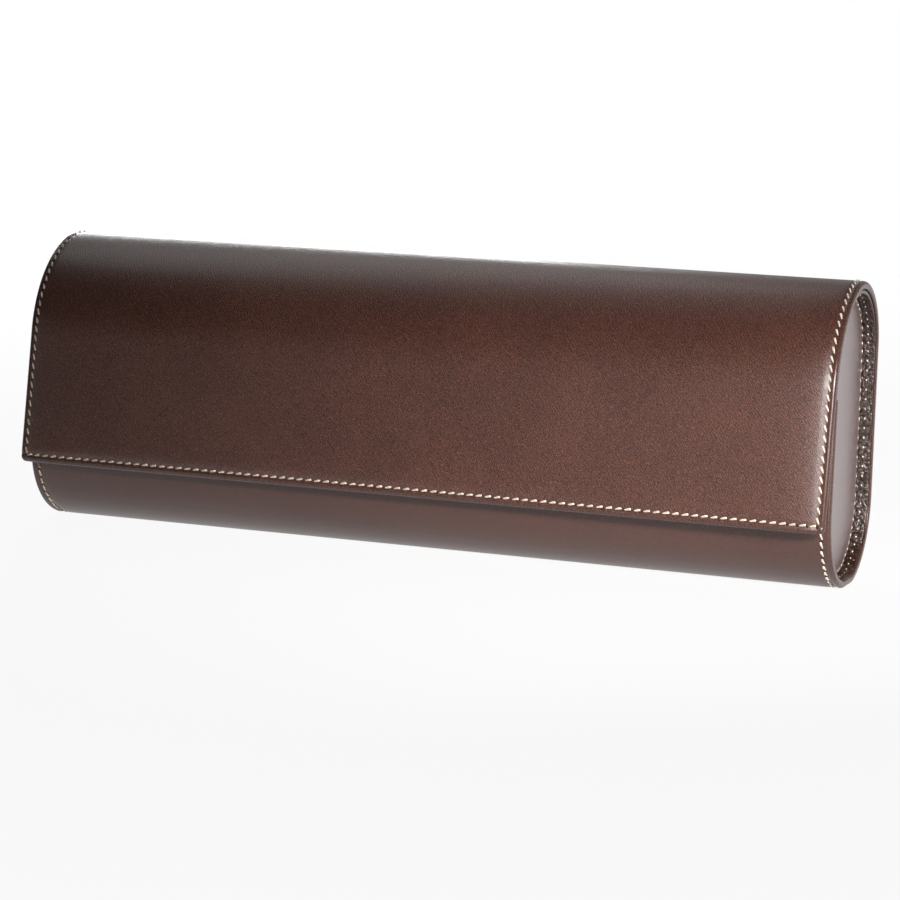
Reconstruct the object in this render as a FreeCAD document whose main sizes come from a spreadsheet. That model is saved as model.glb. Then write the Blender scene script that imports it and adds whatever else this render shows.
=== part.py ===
"""Leather watch case: a lined trough closed by a padded flap, with four watch cushions that lift out.

The case stands upright on a narrow flat under its rounded bottom. X runs along its length, the flap
hangs down the front (-Y) from a leather hinge at the top of the back, and Z is up. The origin is the
middle of the flat that it stands on. Lengths are millimetres, angles are degrees.
"""
import FreeCAD, Part
import math
import os
import Sketcher

SIZES = {
    # Whole case
    "case_length": 300,
    "body_depth": 56.4,
    "base_flat": 12,
    "front_tilt": 2.3,
    "back_top_radius": 24.4,
    "lip_height": 67.8,
    "mouth_height": 36,
    # Layers of the wall: leather outside, board, suede inside
    "wrap_thickness": 1.4,
    "board_thickness": 1.2,
    "lining_thickness": 0.8,
    "glue_line": 0.1,
    "lip_side": 1,
    # Ends: a band sewn inside the rim, with a panel set back in it
    "end_recess": 5,
    "band_thickness": 1.3,
    "panel_thickness": 1.4,
    "panel_drop": 1.5,
    "panel_blend_angle": 134,
    "end_board_thickness": 1.5,
    # Flap and its leather hinge
    "hinge_angle": 50,
    "hinge_width": 9,
    "lip_clearance": 0.4,
    "flap_tilt": 8.6,
    "flap_blend_angle": 110,
    "hem_drop": 44.4,
    "flap_thickness": 1.4,
    "padding_thickness": 1.3,
    "flap_board_thickness": 0.7,
    "flap_edge": 10.5,
    "padding_gap": 5,
    # Magnets that hold the flap down
    "magnet_diameter": 14,
    "magnet_spacing": 150,
    "magnet_rise": 20,
    # Dividers and cushions
    "divider_thickness": 4,
    "divider_drop": 5,
    "divider_corner": 8,
    "cushion_height": 64,
    "cushion_front_gap": 3.6,
    "cushion_side_gap": 3,
    "cushion_edge_radius": 7,
    "cover_thickness": 1,
    "seat_clearance": 0.3,
}
BAYS = 4

WORKED = {
    "body_height": "Sizes.lip_height + Sizes.mouth_height",
    "hem_height": "Sizes.lip_height - Sizes.hem_drop",
    "divider_height": "Sizes.lip_height - Sizes.divider_drop",
    "bottom_radius": "Sizes.body_depth / 2",
    "bottom_centre": "sqrt(Worked.bottom_radius^2 - (Sizes.base_flat / 2)^2)",
    "front_length": "(Sizes.lip_height - Worked.bottom_centre"
                    " - Worked.bottom_radius * sin(Sizes.front_tilt)) / cos(Sizes.front_tilt)",
    "back_centre_y": "Sizes.body_depth / 2 - Sizes.back_top_radius",
    "back_centre_z": "Worked.body_height - Sizes.back_top_radius",
    # Depths below the outer surface, where each layer of the wall starts
    "board_depth": "Sizes.wrap_thickness + Sizes.glue_line",
    "lining_depth": "Worked.board_depth + Sizes.board_thickness + Sizes.glue_line",
    "wall_depth": "Worked.lining_depth + Sizes.lining_thickness",
    "lip_seat": "Sizes.glue_line + Sizes.lip_side + Worked.wall_depth / 2",
    # The end panels: their crown lies lower than the case's, so that the flap clears them
    "panel_depth": "Worked.board_depth + Sizes.band_thickness + Sizes.glue_line",
    "panel_centre_z": "Worked.back_centre_z - Sizes.panel_drop",
    "panel_turn_share": "cos(180 - Sizes.front_tilt - Sizes.panel_blend_angle)",
    "panel_top_radius": "(Worked.bottom_radius + cos(Sizes.front_tilt) * Worked.back_centre_y"
                        " - sin(Sizes.front_tilt) * (Worked.panel_centre_z - Worked.bottom_centre)"
                        " - Worked.panel_turn_share * Sizes.back_top_radius)"
                        " / (1 - Worked.panel_turn_share)",
    "panel_front_y": "Worked.back_centre_y"
                     " - (Worked.panel_top_radius - Sizes.back_top_radius) * cos(Sizes.panel_blend_angle)",
    "panel_front_z": "Worked.panel_centre_z"
                     " - (Worked.panel_top_radius - Sizes.back_top_radius) * sin(Sizes.panel_blend_angle)",
    "band_width": "Sizes.end_recess + Sizes.panel_thickness",
    "end_board_face": "Sizes.case_length / 2 - Worked.band_width - Sizes.glue_line",
    "end_lining_face": "Worked.end_board_face - Sizes.end_board_thickness - Sizes.glue_line",
    "inside_half": "Worked.end_lining_face - Sizes.lining_thickness",
    # The flap: a crown shared with the back, then a larger arc and a straight front past the lip
    "padding_depth": "Sizes.flap_thickness + Sizes.glue_line",
    "flap_board_depth": "Worked.padding_depth + Sizes.padding_thickness + Sizes.glue_line",
    "tray_depth": "Worked.flap_board_depth + Sizes.flap_board_thickness + Sizes.glue_line",
    "flap_depth": "Worked.tray_depth + Sizes.lining_thickness",
    "padding_inset": "Sizes.flap_edge + Sizes.glue_line",
    "hem_y": "Worked.front_length * sin(Sizes.front_tilt)"
             " - Worked.bottom_radius * cos(Sizes.front_tilt)"
             " - (Worked.flap_depth + Sizes.lip_clearance) / cos(Sizes.flap_tilt)"
             " - (Sizes.lip_height - Worked.hem_height) * tan(Sizes.flap_tilt)",
    "flap_turn_share": "cos(180 - Sizes.flap_tilt - Sizes.flap_blend_angle)",
    "flap_top_radius": "(cos(Sizes.flap_tilt) * (Worked.back_centre_y - Worked.hem_y)"
                       " + sin(Sizes.flap_tilt) * (Worked.hem_height - Worked.back_centre_z)"
                       " - Worked.flap_turn_share * Sizes.back_top_radius)"
                       " / (1 - Worked.flap_turn_share)",
    "flap_front_y": "Worked.back_centre_y"
                    " - (Worked.flap_top_radius - Sizes.back_top_radius) * cos(Sizes.flap_blend_angle)",
    "flap_front_z": "Worked.back_centre_z"
                    " - (Worked.flap_top_radius - Sizes.back_top_radius) * sin(Sizes.flap_blend_angle)",
    "hinge_half_angle": "Sizes.hinge_width / 2 / Sizes.back_top_radius * 180 / pi",
    "glue_angle": "Sizes.glue_line / Sizes.back_top_radius * 180 / pi",
    "wrap_end_angle": "Sizes.hinge_angle - Worked.hinge_half_angle - Worked.glue_angle",
    "flap_start_angle": "Sizes.hinge_angle + Worked.hinge_half_angle + Worked.glue_angle",
    "padding_start_angle": "Worked.flap_start_angle + Sizes.padding_gap / Sizes.back_top_radius * 180 / pi",
    "tray_start_angle": "Worked.padding_start_angle"
                        " - Sizes.lining_thickness / Sizes.back_top_radius * 180 / pi",
    # The bays between the dividers
    "bay_width": f"(2 * Worked.inside_half - {BAYS - 1} * Sizes.divider_thickness) / {BAYS}",
    "bay_pitch": "Worked.bay_width + Sizes.divider_thickness",
    "divider_depth": "Worked.wall_depth + Sizes.glue_line",
    "cushion_depth": "Sizes.body_depth - 2 * (Worked.wall_depth + Sizes.cushion_front_gap)",
    "cushion_width": "Worked.bay_width - 2 * Sizes.cushion_side_gap",
    "cushion_seat": "Worked.wall_depth + Sizes.seat_clearance",
    "core_depth": "Sizes.cover_thickness + Sizes.glue_line",
}

doc = FreeCAD.newDocument("watch_case")


def fill_sheet():
    """Put the driving sizes in the sheet, and what follows from them in a set of bound values."""
    sheet = doc.addObject("Spreadsheet::Sheet", "Sizes")
    for row, (alias, size) in enumerate(SIZES.items(), start=1):
        sheet.set(f"A{row}", alias)
        sheet.set(f"B{row}", str(size))
        sheet.setAlias(f"B{row}", alias)
    doc.recompute()
    worked = doc.addObject("App::VarSet", "Worked")
    for name, formula in WORKED.items():
        worked.addProperty("App::PropertyFloat", name)
        worked.setExpression(name, formula)
        doc.recompute()
    return worked


worked = fill_sheet()
nodes = []


def value(formula):
    """The number that a formula gives with the sheet's present sizes."""
    return float(worked.evalExpression(formula))


def vector(point):
    """A point of a sketch, from its two formulas."""
    return FreeCAD.Vector(value(point[0]), value(point[1]), 0)


def on_circle(centre, radius, angle):
    """The point of a circle at an angle, as two formulas."""
    return f"{centre[0]} + ({radius}) * cos({angle})", f"{centre[1]} + ({radius}) * sin({angle})"


def draw(sketch, corners):
    """Draw one closed outline, with each corner, and the radius of each arc, bound to its formula.

    A corner is (point, bend): bend is None for a straight run to the next corner, or (centre, radius).
    """
    ends = []
    fixed = []
    for index, (point, bend) in enumerate(corners):
        start = vector(point)
        end = vector(corners[(index + 1) % len(corners)][0])
        if bend is None:
            ends.append((sketch.addGeometry(Part.LineSegment(start, end)), 1, 2))
            continue
        centre, radius = vector(bend[0]), value(bend[1])
        first = math.atan2(start.y - centre.y, start.x - centre.x)
        turn = math.remainder(math.atan2(end.y - centre.y, end.x - centre.x) - first, 2 * math.pi)
        circle = Part.Circle(centre, FreeCAD.Vector(0, 0, 1), radius)
        arc = Part.ArcOfCircle(circle, min(first, first + turn), max(first, first + turn))
        geometry = sketch.addGeometry(arc)
        ends.append((geometry, 1, 2) if turn > 0 else (geometry, 2, 1))
        fixed.append((Sketcher.Constraint("Radius", geometry, radius), bend[1]))
    for index, (geometry, tail, head) in enumerate(ends):
        following, next_tail, _ = ends[(index + 1) % len(ends)]
        sketch.addConstraint(Sketcher.Constraint("Coincident", geometry, head, following, next_tail))
        for kind, formula in zip(("DistanceX", "DistanceY"), corners[index][0]):
            place = Sketcher.Constraint(kind, -1, 1, geometry, tail, value(formula))
            fixed.append((place, formula))
    for constraint, formula in fixed:
        number = sketch.addConstraint(constraint)
        sketch.setExpression(f"Constraints[{number}]", formula)


def section(body, outlines, start="0"):
    """A sketch across the case, start along its length, that holds the given closed outlines."""
    sketch = body.newObject("Sketcher::SketchObject", f"{body.Name}_section")
    plane = next(item for item in body.Origin.OriginFeatures if item.Role == "YZ_Plane")
    sketch.AttachmentSupport = [(plane, "")]
    sketch.MapMode = "FlatFace"
    sketch.setExpression("AttachmentOffset.Base.z", start)
    for outline in outlines:
        draw(sketch, outline)
    return sketch


def feature(body, kind, outlines, length, start=None):
    """Pad or pocket a section: both ways from the middle, or from start towards +X."""
    sketch = section(body, outlines, start or "0")
    made = body.newObject(f"PartDesign::{kind}", f"{body.Name}_{kind.lower()}")
    made.Profile = sketch
    made.SideType = "One side" if start else "Symmetric"
    made.setExpression("Length", length)
    sketch.Visibility = False
    return made


def new_body(label):
    """An empty body under a sub-part's name."""
    body = doc.addObject("PartDesign::Body", label)
    body.Label = label
    return body


def padded(label, outlines, length, start=None):
    """A sub-part that is one section padded along the case."""
    body = new_body(label)
    feature(body, "Pad", outlines, length, start)
    return body


def strip(outer, inner):
    """The closed outline between two paths that run side by side, each (points, bends)."""
    forward = list(zip(outer[0], outer[1] + [None]))
    back = list(zip(reversed(inner[0]), inner[1][::-1] + [None]))
    return forward + back


def trough(depth):
    """The rounded bottom, at a depth under its outer surface, from the front round to the back."""
    radius = f"(Worked.bottom_radius - ({depth}))"
    half_flat = f"sqrt({radius}^2 - (Worked.bottom_centre - ({depth}))^2)"
    centre = ("0", "Worked.bottom_centre")
    points = [
        on_circle(centre, radius, "180 - Sizes.front_tilt"),
        (f"-{half_flat}", depth),
        (half_flat, depth),
        (radius, "Worked.bottom_centre"),
    ]
    return points, [(centre, radius), None, (centre, radius)]


def front_point(depth, reach):
    """A point of the straight front wall, reach above the top of the rounded bottom."""
    foot = trough(depth)[0][0]
    return f"{foot[0]} + ({reach}) * sin(Sizes.front_tilt)", f"{foot[1]} + ({reach}) * cos(Sizes.front_tilt)"


def wall_path(depth):
    """The wall from its seat for the lip, down the front, round the bottom and up the back to the hinge."""
    points, bends = trough(depth)
    radius = f"(Worked.bottom_radius - ({depth}))"
    crown = f"(Sizes.back_top_radius - ({depth}))"
    centre = ("Worked.back_centre_y", "Worked.back_centre_z")
    top = front_point(depth, "Worked.front_length - Worked.lip_seat")
    back_top = (radius, "Worked.back_centre_z")
    end = on_circle(centre, crown, "Worked.wrap_end_angle")
    return [top] + points + [back_top, end], [None] + bends + [None, (centre, crown)]


def flap_path(depth, start_angle, inset):
    """The flap from an angle on its crown, over the top and down the front, to inset above its hem."""
    crown = f"(Sizes.back_top_radius - ({depth}))"
    brow = f"(Worked.flap_top_radius - ({depth}))"
    back_centre = ("Worked.back_centre_y", "Worked.back_centre_z")
    front_centre = ("Worked.flap_front_y", "Worked.flap_front_z")
    hem = (
        f"Worked.hem_y + ({depth}) * cos(Sizes.flap_tilt) + ({inset}) * sin(Sizes.flap_tilt)",
        f"Worked.hem_height - ({depth}) * sin(Sizes.flap_tilt) + ({inset}) * cos(Sizes.flap_tilt)",
    )
    points = [
        on_circle(back_centre, crown, start_angle),
        on_circle(back_centre, crown, "Sizes.flap_blend_angle"),
        on_circle(front_centre, brow, "180 - Sizes.flap_tilt"),
        hem,
    ]
    return points, [(back_centre, crown), (front_centre, brow), None]


def end_outline(depth):
    """The closed outline of an end panel, at a depth under the case's own outline."""
    points, bends = trough(depth)
    crown = f"(Sizes.back_top_radius - ({depth}))"
    brow = f"(Worked.panel_top_radius - ({depth}))"
    back_centre = ("Worked.back_centre_y", "Worked.panel_centre_z")
    front_centre = ("Worked.panel_front_y", "Worked.panel_front_z")
    points = points + [
        (f"Worked.bottom_radius - ({depth})", "Worked.panel_centre_z"),
        on_circle(back_centre, crown, "Sizes.panel_blend_angle"),
        on_circle(front_centre, brow, "180 - Sizes.front_tilt"),
    ]
    bends = bends + [None, (back_centre, crown), (front_centre, brow), None]
    return list(zip(points, bends))


def wall_layer(label, depth, thickness, length):
    """One layer of the body's wall, all along the case."""
    return padded(label, [strip(wall_path(depth), wall_path(f"{depth} + {thickness}"))], length)


def flap_layer(label, depth, thickness, start_angle, inset, length):
    """One layer of the flap."""
    outer = flap_path(depth, start_angle, inset)
    inner = flap_path(f"{depth} + {thickness}", start_angle, inset)
    return padded(label, [strip(outer, inner)], length)


def lip_bead():
    """The rounded bead that binds the top edge of the front wall."""
    outside, inside = "0", "Worked.wall_depth"
    middle = "Worked.wall_depth / 2"
    seat = "Worked.front_length - Worked.lip_seat + Sizes.glue_line"
    shoulder = f"{seat} + Sizes.lip_side"
    centre = front_point(middle, shoulder)
    corners = [
        (front_point(outside, seat), None),
        (front_point(outside, shoulder), (centre, middle)),
        (front_point(middle, "Worked.front_length"), (centre, middle)),
        (front_point(inside, shoulder), None),
        (front_point(inside, seat), None),
    ]
    return padded("lip_bead", [corners], "2 * Worked.inside_half")


def hinge_strip():
    """The bare leather between the back and the flap, which bends."""
    centre = ("Worked.back_centre_y", "Worked.back_centre_z")
    sides = []
    for radius in ("Sizes.back_top_radius", "Sizes.back_top_radius - Sizes.flap_thickness"):
        points = [
            on_circle(centre, radius, "Sizes.hinge_angle - Worked.hinge_half_angle"),
            on_circle(centre, radius, "Sizes.hinge_angle + Worked.hinge_half_angle"),
        ]
        sides.append((points, [(centre, radius)]))
    return padded("hinge_strip", [strip(*sides)], "Sizes.case_length")


def end_piece(side, label, outlines, face, thickness):
    """A piece across one end: face is how far its outer face lies from the middle of the case."""
    start = f"{face} - ({thickness})" if side == "right" else f"-({face})"
    return padded(f"{side}_{label}", outlines, thickness, start)


def end_pieces(side):
    """The band sewn inside the rim, the panel in it, and the board and suede behind the panel."""
    band = [end_outline("Worked.board_depth"), end_outline("Worked.board_depth + Sizes.band_thickness")]
    panel = [end_outline("Worked.panel_depth")]
    rim = "Sizes.case_length / 2"
    return [
        end_piece(side, "end_band", band, rim, "Worked.band_width"),
        end_piece(side, "end_panel", panel, f"{rim} - Sizes.end_recess", "Sizes.panel_thickness"),
        end_piece(side, "end_board", panel, "Worked.end_board_face", "Sizes.end_board_thickness"),
        end_piece(side, "end_lining", panel, "Worked.end_lining_face", "Sizes.lining_thickness"),
    ]


def flap_lining():
    """The suede under the flap: a shallow tray over the padding, with a flat margin sewn at the edges."""
    body = new_body("flap_lining")
    shallow, start = "Worked.padding_depth", "Worked.flap_start_angle"
    rim_inset = "Sizes.flap_edge - Sizes.lining_thickness"
    margin = strip(
        flap_path(shallow, start, "0"),
        flap_path(f"{shallow} + Sizes.lining_thickness", start, "0"),
    )
    tray = strip(
        flap_path(shallow, "Worked.tray_start_angle", rim_inset),
        flap_path("Worked.flap_depth", "Worked.tray_start_angle", rim_inset),
    )
    hollow = strip(
        flap_path("Sizes.flap_thickness", "Worked.padding_start_angle", "Sizes.flap_edge"),
        flap_path("Worked.tray_depth", "Worked.padding_start_angle", "Sizes.flap_edge"),
    )
    feature(body, "Pad", [margin], "Sizes.case_length")
    feature(body, "Pad", [tray], f"Sizes.case_length - 2 * ({rim_inset})")
    feature(body, "Pocket", [hollow], "Sizes.case_length - 2 * Sizes.flap_edge")
    return body


def magnet_discs(name, place, tilt, thickness, clearance):
    """A pair of discs, face down on a place of the wall or flap, clearance larger all round."""
    discs = []
    for side, sign in (("left", "-"), ("right", "")):
        disc = doc.addObject("Part::Cylinder", f"{name}_{side}")
        disc.setExpression("Radius", f"Sizes.magnet_diameter / 2 + {clearance}")
        disc.setExpression("Height", f"{thickness} + 2 * {clearance}")
        disc.Placement = FreeCAD.Placement(
            FreeCAD.Vector(), FreeCAD.Rotation(FreeCAD.Vector(1, 0, 0), 90 - value(tilt))
        )
        disc.setExpression("Placement.Rotation.Angle", f"90 - {tilt}")
        disc.setExpression("Placement.Base.x", f"{sign}Sizes.magnet_spacing / 2")
        disc.setExpression("Placement.Base.y", f"{place[0]} + {clearance} * cos({tilt})")
        disc.setExpression("Placement.Base.z", f"{place[1]} - {clearance} * sin({tilt})")
        discs.append(disc)
    pair = doc.addObject("Part::Compound", name)
    pair.Links = discs
    pair.Label = name
    return pair


def bored(body, label, bores):
    """A layer with the magnets' holes cut through it."""
    body.Label = f"{label}_blank"
    cut = doc.addObject("Part::Cut", f"{label}_bored")
    cut.Base = body
    cut.Tool = bores
    cut.Label = label
    return cut


def divider(number):
    """A suede covered board across the trough, with its top corners rounded."""
    points, bends = trough("Worked.divider_depth")
    foot = points[0]
    rise = f"(Worked.divider_height - ({foot[1]}))"
    points = points + [
        ("Worked.bottom_radius - Worked.divider_depth", "Worked.divider_height"),
        (f"{foot[0]} + {rise} * tan(Sizes.front_tilt)", "Worked.divider_height"),
    ]
    outline = list(zip(points, bends + [None, None, None]))
    start = f"({number - BAYS / 2}) * Worked.bay_pitch - Sizes.divider_thickness / 2"
    body = padded(f"divider_{number}", [outline], "Sizes.divider_thickness", start)
    doc.recompute()
    top = value("Worked.divider_height")
    corners = [
        f"Edge{index}"
        for index, edge in enumerate(body.Shape.Edges, start=1)
        if edge.BoundBox.YLength + edge.BoundBox.ZLength < edge.BoundBox.XLength
        and abs(edge.CenterOfMass.z - top) < edge.BoundBox.XLength
    ]
    return rounded(body, corners, "Sizes.divider_corner")


def rounded(body, edges, radius):
    """Round the named edges of a body."""
    base = body.Tip
    fillet = body.newObject("PartDesign::Fillet", f"{body.Name}_fillet")
    fillet.Base = (base, edges)
    fillet.setExpression("Radius", radius)
    body.Tip = fillet
    return body


def cushion_block(label, number, inset):
    """An upright roll with round top and bottom and soft ends, inset inside the cushion's outside."""
    radius = f"(Worked.cushion_depth / 2 - ({inset}))"
    low = ("0", "Worked.cushion_seat + Worked.cushion_depth / 2")
    high = ("0", "Worked.cushion_seat + Sizes.cushion_height - Worked.cushion_depth / 2")
    corners = [
        (on_circle(low, radius, "180"), (low, radius)),
        (on_circle(low, radius, "270"), (low, radius)),
        (on_circle(low, radius, "0"), None),
        (on_circle(high, radius, "0"), (high, radius)),
        (on_circle(high, radius, "90"), (high, radius)),
        (on_circle(high, radius, "180"), None),
    ]
    width = f"(Worked.cushion_width - 2 * ({inset}))"
    middle = f"({number - (BAYS + 1) / 2}) * Worked.bay_pitch"
    body = padded(label, [corners], width, f"{middle} - {width} / 2")
    doc.recompute()
    rims = [
        f"Edge{index}"
        for index, edge in enumerate(body.Shape.Edges, start=1)
        if edge.BoundBox.XLength < edge.BoundBox.YLength + edge.BoundBox.ZLength
    ]
    return rounded(body, rims, f"Sizes.cushion_edge_radius - ({inset})")


def cushion(number):
    """A sewn suede cover filled by a foam core."""
    outside = cushion_block(f"cushion_{number}_outside", number, "0")
    hollow = cushion_block(f"cushion_{number}_hollow", number, "Sizes.cover_thickness")
    cover = doc.addObject("Part::Cut", f"cushion_{number}_sewn")
    cover.Base = outside
    cover.Tool = hollow
    cover.Label = f"cushion_{number}_cover"
    return [cover, cushion_block(f"cushion_{number}_core", number, "Worked.core_depth")]


def body_nodes():
    """The trough: its wall in three layers, the lip, the ends, the dividers and the wall's magnets."""
    between_bands = "Sizes.case_length - 2 * (Worked.band_width + Sizes.glue_line)"
    wall_layer("body_wrap", "0", "Sizes.wrap_thickness", "Sizes.case_length")
    board = wall_layer("body_board", "Worked.board_depth", "Sizes.board_thickness", between_bands)
    lining = wall_layer(
        "body_lining", "Worked.lining_depth", "Sizes.lining_thickness",
        "2 * (Worked.inside_half - Sizes.glue_line)",
    )
    rise = (
        "(Worked.hem_height + Sizes.magnet_rise * cos(Sizes.flap_tilt) - Worked.bottom_centre)"
        " / cos(Sizes.front_tilt)"
    )
    place = front_point("Worked.board_depth + Sizes.board_thickness", rise)
    magnets = magnet_discs("wall_magnets", place, "Sizes.front_tilt", "Sizes.board_thickness", "0")
    bores = magnet_discs("wall_bores", place, "Sizes.front_tilt", "Sizes.board_thickness", "Sizes.glue_line")
    found = [doc.getObject("body_wrap"), bored(board, "body_board", bores), lining, lip_bead(), hinge_strip()]
    found.append(magnets)
    for side in ("left", "right"):
        found.extend(end_pieces(side))
    found.extend(divider(number) for number in range(1, BAYS))
    return found


def flap_nodes():
    """The flap: leather outside, padding, a board and the suede tray, with magnets in the core."""
    core_length = "Sizes.case_length - 2 * Worked.padding_inset"
    start = "Worked.padding_start_angle + Worked.glue_angle"
    leather = flap_layer(
        "flap_leather", "0", "Sizes.flap_thickness", "Worked.flap_start_angle", "0", "Sizes.case_length"
    )
    padding = flap_layer(
        "flap_padding", "Worked.padding_depth", "Sizes.padding_thickness", start, "Worked.padding_inset",
        core_length,
    )
    board = flap_layer(
        "flap_board", "Worked.flap_board_depth", "Sizes.flap_board_thickness", start, "Worked.padding_inset",
        core_length,
    )
    thickness = "(Sizes.padding_thickness + Sizes.glue_line + Sizes.flap_board_thickness)"
    place = flap_path("Worked.tray_depth - Sizes.glue_line", "0", "Sizes.magnet_rise")[0][-1]
    magnets = magnet_discs("flap_magnets", place, "Sizes.flap_tilt", thickness, "0")
    bores = magnet_discs("flap_bores", place, "Sizes.flap_tilt", thickness, "Sizes.glue_line")
    return [
        leather,
        bored(padding, "flap_padding", bores),
        bored(board, "flap_board", bores),
        flap_lining(),
        magnets,
    ]


def check_document():
    """Stop if any feature failed or any sub-part has no sound solid."""
    doc.recompute()
    for item in doc.Objects:
        if {"Invalid", "Error"} & set(item.State):
            raise RuntimeError(f"{item.Label} failed: {item.State}")
    for node in nodes:
        if node.Shape.isNull() or not node.Shape.isValid() or not node.Shape.Solids:
            raise RuntimeError(f"{node.Label} has no sound solid")


nodes.extend(body_nodes())
nodes.extend(flap_nodes())
for bay in range(1, BAYS + 1):
    nodes.extend(cushion(bay))
check_document()
os.makedirs("parts", exist_ok=True)
for node in nodes:
    node.Shape.exportStep(os.path.join("parts", f"{node.Label}.step"))
    box = node.Shape.BoundBox
    print(f"{node.Label}: {len(node.Shape.Solids)} solids, {node.Shape.Volume:.0f} mm3,"
          f" z {box.ZMin:.2f} to {box.ZMax:.2f}, y {box.YMin:.2f} to {box.YMax:.2f}")
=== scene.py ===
"""Looks of the leather watch case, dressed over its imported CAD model.

Lengths are millimetres and become metres where a mesh is made. The case's section lies in the YZ plane
and is swept along X, so a surface is given by a path across the case, a distance along that path, a place
along X and a depth under the outer surface, as in the CAD source.
"""
import math

import bmesh
import bpy
import numpy as np
from mathutils import Matrix, Vector


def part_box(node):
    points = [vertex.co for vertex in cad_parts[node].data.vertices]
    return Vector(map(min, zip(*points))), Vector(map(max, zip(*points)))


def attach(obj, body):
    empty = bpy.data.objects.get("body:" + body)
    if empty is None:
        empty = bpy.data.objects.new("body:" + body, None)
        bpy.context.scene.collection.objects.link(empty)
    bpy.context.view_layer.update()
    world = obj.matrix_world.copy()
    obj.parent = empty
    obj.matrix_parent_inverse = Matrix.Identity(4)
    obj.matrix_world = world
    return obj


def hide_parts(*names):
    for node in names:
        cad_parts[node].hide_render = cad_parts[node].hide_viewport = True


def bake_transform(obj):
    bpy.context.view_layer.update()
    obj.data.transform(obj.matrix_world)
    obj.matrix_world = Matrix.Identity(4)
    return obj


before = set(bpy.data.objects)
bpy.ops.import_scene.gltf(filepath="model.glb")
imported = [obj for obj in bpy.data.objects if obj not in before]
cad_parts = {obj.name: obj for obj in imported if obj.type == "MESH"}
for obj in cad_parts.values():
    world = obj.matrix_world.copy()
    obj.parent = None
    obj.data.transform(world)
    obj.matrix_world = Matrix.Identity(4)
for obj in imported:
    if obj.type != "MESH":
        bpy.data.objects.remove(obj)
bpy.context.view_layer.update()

MM = 0.001

# Section of the case, as in the CAD source
HALF_LENGTH = 150.0
BOTTOM_RADIUS = 28.2
HALF_FLAT = 6.0
FOOT_RADIUS = 12.0
FRONT_TILT = 2.3
CROWN_RADIUS = 24.4
LIP_HEIGHT = 67.8
TOP_HEIGHT = 103.8
WALL_TOP_DROP = 2.9
PANEL_DROP = 1.5
PANEL_BLEND = 134.0
HINGE_START = 39.19
FLAP_BLEND = 110.0
FLAP_TILT = 8.6
HEM_Y = -38.28
HEM_Z = 23.4

# Depths of the layers under the outer surface
WRAP_DEPTH = 1.4
RIM_DEPTH = 2.6
BAND_DEPTHS = (1.5, 2.8)
PANEL_DEPTH = 2.9
LINING_DEPTHS = (2.8, 3.6)
FLAP_MARGIN_DEPTHS = (1.5, 2.3)
FLAP_TRAY_DEPTH = 4.5
DIVIDER_DEPTH = 3.7

# Places along X of the ends' layers
BAND_INSIDE = 143.6
BAND_OUTSIDE = 149.35
PANEL_FACE = 145.0
END_LINING = (141.1, 141.9)
LINING_HALF = 141.0

# Stitching
PITCH = 3.35
SIDE_ROW = 2.3
HEM_ROW = 2.6
RIM_ROW = 3.0
PANEL_ROW = 1.0
RIM_ROW_START = 5.0
BAND_SINK = 0.56
PANEL_SINK = 0.38
HEM_SLANT = 0.2
SIDE_SLANT = 0.42
RIM_SLANT = 0.26

# One stitch: its radius and half length, its swell and taper, its rise, tilt and dive, and its twist
THREAD = 0.34
STITCH_REACH = 1.35
HEAD_SWELL, END_THINNING = 0.45, 0.25
STITCH_RISE, STITCH_TILT, STITCH_DIVE = 0.14, 0.24, 0.6
LOBE_DEPTH, LOBE_TURN = 0.1, 5

# One awl hole: the half axes of its slit, and the heights of its rim, top and bottom
SLIT_ACROSS = (0.28, 0.22)
SLIT_ALONG = (-0.36, 0.72)
HOLE_RIM, HOLE_TOP, HOLE_BOTTOM = -0.02, 0.05, -0.12

# Rolled edges of the leather, the furrows under its stitches, and the width of the painted edges
EDGE_ROLL = 1.1
HEM_ROLL = 1.5
SIDE_ROLL_GROWTH = 0.4
SIDE_ROLL_SPAN = (0, 30)
BAND_ROLL = 0.3
ROLL_SHARE = 0.8
FURROW = 0.25
BASE_FURROW = 0.45
BASE_FURROW_REACH = 20
RIM_FURROW_WIDTH = 1.1
SIDE_FURROW_WIDTH = 0.9
HEM_FURROW_WIDTH = 0.8
BODY_EDGE_PAINT = 0.46
FLAP_EDGE_PAINT = 1.3
BAND_EDGE_PAINT = 0.14

# The body's rims: the drop to the lip, the round corners and their reach, and the edge that is turned in
LIP_DROP_SPAN = (4.5, 6.6)
RIM_CORNER = 2.6
RIM_CORNER_REACH = 9
RIM_TURN_IN = (0.6, 0.7)
RIM_TURN_ROLL = 0.7

# The flap's outside: depths and reaches of its draw to the stitches, where that sets in, and its corners
SIDE_DRAWS = ((1.9, 7.5), (0.3, 1.8))
SIDE_DRAW_SPAN = (20, 80)
HEM_DRAW, HEM_DRAW_REACH = 0.5, 1.6
SIDE_ROW_SPAN = (0, 40)
HEM_CORNER = 2.2

# The flap's inner side: its leather's thickness, the turned-in margin, and what changes near the hinge
FLAP_SKIN = 1.42
TURN_IN = (1.5, 2.1)
TURN_IN_CUT = (0.9, 1.4)
TURN_IN_EXTRA = 0.5
TURN_IN_ROLL, TURN_IN_ROLL_SHARE = 0.8, 0.6
HINGE_MARGIN_SPAN = (30, 50)

# The flap's suede: where the tray starts and its walls rise, and how its borders lie to the stitches
TRAY_START = 9
TRAY_SUEDE_START = 9.6
TRAY_WALL = (9.2, 12.4)
TRAY_HEM_LAP = 0.3
TRAY_SIDE_GAP = 0.1
TRAY_MARGIN = 6

# The dividers' height, top corners and rounded rims, and the rims and dome of the ends' plates
DIVIDER_TOP = 62.8
DIVIDER_CORNER = 8.0
DIVIDER_ROUND = 1.4
PANEL_ROUND, PANEL_DOME = 0.5, 0.35
END_LINING_ROUND = 0.3

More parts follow.
